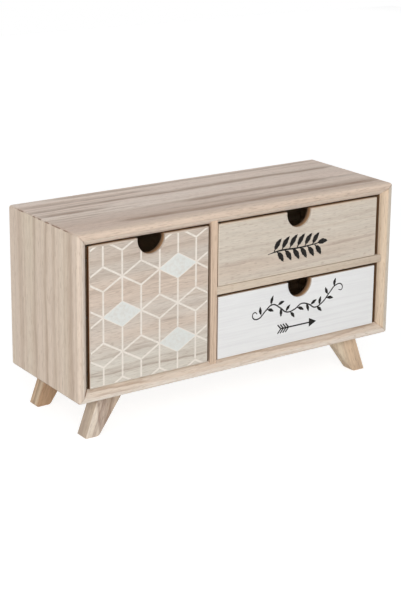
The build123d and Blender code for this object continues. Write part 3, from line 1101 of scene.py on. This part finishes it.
def leafy_branch():
    """A level branch with pairs of leaves, the longest near its middle, and one at its tip."""
    stem = [(25.5, 128.2, 0.6), (38.0, 129.8, 1.5), (58.0, 129.2, 1.4), (78.0, 130.0, 1.0)]
    strokes = [(stem, CURVED)]
    for pair in range(BRANCH_PAIRS):
        x = BRANCH_FIRST_PAIR + pair * BRANCH_PAIR_SPACING
        z = BRANCH_LEVEL + BRANCH_WAVE * math.sin(pair)
        length = LONGEST_LEAF - LEAF_SHORTENS * abs(pair - LONGEST_LEAF_PAIR)
        strokes.append(leaf(x, z, BRANCH_LEAF_ANGLE, length, BRANCH_LEAF_WIDTH))
        x += LOWER_LEAF_SHIFT
        length *= LOWER_LEAF_SHARE
        strokes.append(leaf(x, z, -BRANCH_LEAF_ANGLE, length, BRANCH_LEAF_WIDTH))
    strokes.append(leaf(77.5, 130.0, 4.0, 12.5, BRANCH_LEAF_WIDTH))
    return strokes


VINE_LEAF_WIDTH = 3.0


def vine():
    """A thin winding vine with small leaves and a curl at each end."""
    stem = [
        (15.5, 77.5, 0.7), (13.2, 79.3, 0.9), (10.6, 77.6, 1.0), (12.0, 73.8, 1.1),
        (17.5, 73.2, 1.2), (24.0, 78.5, 1.2), (31.5, 83.0, 1.2), (39.5, 79.0, 1.2),
        (47.0, 73.6, 1.2), (55.5, 74.6, 1.2), (63.0, 78.4, 1.2), (71.0, 76.4, 1.2),
        (78.0, 72.4, 1.2), (86.5, 75.6, 1.2), (94.0, 83.0, 1.2), (101.5, 89.0, 1.1),
        (107.5, 88.0, 1.0), (107.6, 83.6, 0.9), (104.0, 84.0, 0.7),
    ]
    strokes = [(stem, CURVED)]
    for x, z, angle, length in (
        (20.0, 75.2, 100.0, 8.5), (25.5, 79.6, -20.0, 8.0), (30.0, 82.6, 75.0, 9.0),
        (37.0, 81.2, 20.0, 8.0), (40.0, 78.7, -85.0, 8.5), (46.0, 74.0, 50.0, 7.5),
        (50.5, 73.2, -50.0, 8.0), (58.0, 75.8, -25.0, 8.5), (68.0, 77.8, -70.0, 8.5),
        (73.0, 75.2, 30.0, 8.0), (79.5, 72.5, -40.0, 8.0), (83.0, 73.2, 80.0, 8.5),
        (90.0, 78.8, -10.0, 8.5), (92.5, 81.6, 115.0, 8.0), (99.0, 87.4, 80.0, 8.0),
    ):
        strokes.append(leaf(x, z, angle, length, VINE_LEAF_WIDTH))
    return strokes


ARROW_LEVEL = 59.6
BARB_PAIRS = 4
FIRST_BARB = 41.2
BARB_SPACING = 2.8
BARB_LENGTH = 3.6
BARB_HEIGHT = 4.0
BARB_WIDTH = 1.2


def fletched_arrow():
    """A plain arrow with pairs of barbs at its tail."""
    shaft = [(40.5, ARROW_LEVEL, 1.3), (72.5, ARROW_LEVEL, 1.3)]
    head = [(71.8, ARROW_LEVEL, 8.0), (79.8, ARROW_LEVEL, 0.06)]
    strokes = [(shaft, STRAIGHT), (head, STRAIGHT)]
    for pair in range(BARB_PAIRS):
        x = FIRST_BARB + BARB_SPACING * pair
        for side in (-1, 1):
            foot = (x, ARROW_LEVEL, BARB_WIDTH)
            tip = (x - BARB_LENGTH, ARROW_LEVEL + BARB_HEIGHT * side, BARB_WIDTH)
            strokes.append(([foot, tip], STRAIGHT))
    return strokes


ink = charcoal_ink()
print_ornament("leafy_branch", leafy_branch(), "upper_drawer", ink)
print_ornament("vine", vine(), "lower_drawer", ink)
print_ornament("fletched_arrow", fletched_arrow(), "lower_drawer", ink)


# Room: a pale floor that keeps a soft shadow, white all round, and soft lamps. Its
# lengths are in metres.

WHITE = (1.0, 1.0, 1.0, 1.0)


def seen_directly(tree):
    """1 for a ray from the camera, straight or by way of a mirror or glass, and else 0."""
    ray = add(tree, "LightPath").node.outputs
    seen = add(tree, "Math", ray["Is Camera Ray"], ray["Is Glossy Ray"], operation="MAXIMUM")
    return add(tree, "Math", seen, ray["Is Transmission Ray"], operation="MAXIMUM")


# The floor ends about where the lamps' light does, so it stays nearly white to its edge.

FLOOR_SIZE = 4.0
FLOOR_GLOW = 0.8


def pale_floor():
    """A matt pale floor: seen directly it glows nearly white and shows only the shadow."""
    material, tree = new_material("pale_floor")
    lit = add(tree, "BsdfDiffuse", linear("#f2f1ef"))
    shadowed = add(tree, "BsdfDiffuse", linear("#a5a5a5"))
    glow = add(tree, "Emission", WHITE, FLOOR_GLOW)
    shown = add(tree, "AddShader", shadowed, glow)
    surface = add(tree, "MixShader", seen_directly(tree), lit, shown)
    add(tree, "OutputMaterial", surface, output=None)
    return material


bpy.ops.object.select_all(action="DESELECT")
bpy.ops.mesh.primitive_plane_add(size=FLOOR_SIZE)
floor = bpy.context.object
floor.name = "floor"
floor.data.materials.append(pale_floor())

WORLD_FILL = 0.36


def set_world():
    """White where it is seen, and an even fill light otherwise."""
    world = bpy.data.worlds.new("studio")
    bpy.context.scene.world = world
    world.use_nodes = True
    tree = world.node_tree
    tree.nodes.clear()
    seen = seen_directly(tree)
    strength = add(tree, "MapRange", seen, 0.0, 1.0, WORLD_FILL, 1.0, **SMOOTH)
    background = add(tree, "Background", WHITE, strength)
    add(tree, "OutputWorld", background, output=None)


CHEST_MIDDLE = (0.0, 0.0, 0.1)


def softbox(name, place, size, power, tint):
    """A square lamp of this many watts that looks at the chest."""
    data = bpy.data.lights.new(name, "AREA")
    data.shape = "SQUARE"
    data.size = size
    data.energy = power
    data.color = linear(tint)[:3]
    lamp = bpy.data.objects.new(name, data)
    bpy.context.scene.collection.objects.link(lamp)
    direction = Vector(place) - Vector(CHEST_MIDDLE)
    turned = direction.to_track_quat("Z", "Y").to_matrix().to_4x4()
    lamp.matrix_world = Matrix.Translation(Vector(place)) @ turned


set_world()
softbox("front_lamp", (-1.1, -2.2, 1.3), size=1.6, power=36.2, tint="#fffcf9")
softbox("left_lamp", (-2.4, -0.8, 1.0), size=1.4, power=12.0, tint="#ffffff")
softbox("top_lamp", (0.3, -0.2, 2.2), size=1.6, power=2.6, tint="#f6f9ff")
softbox("back_lamp", (1.1, 2.4, 0.3), size=1.2, power=17.0, tint="#ffffff")

set_camera()
bpy.context.scene.view_settings.view_transform = "Standard"
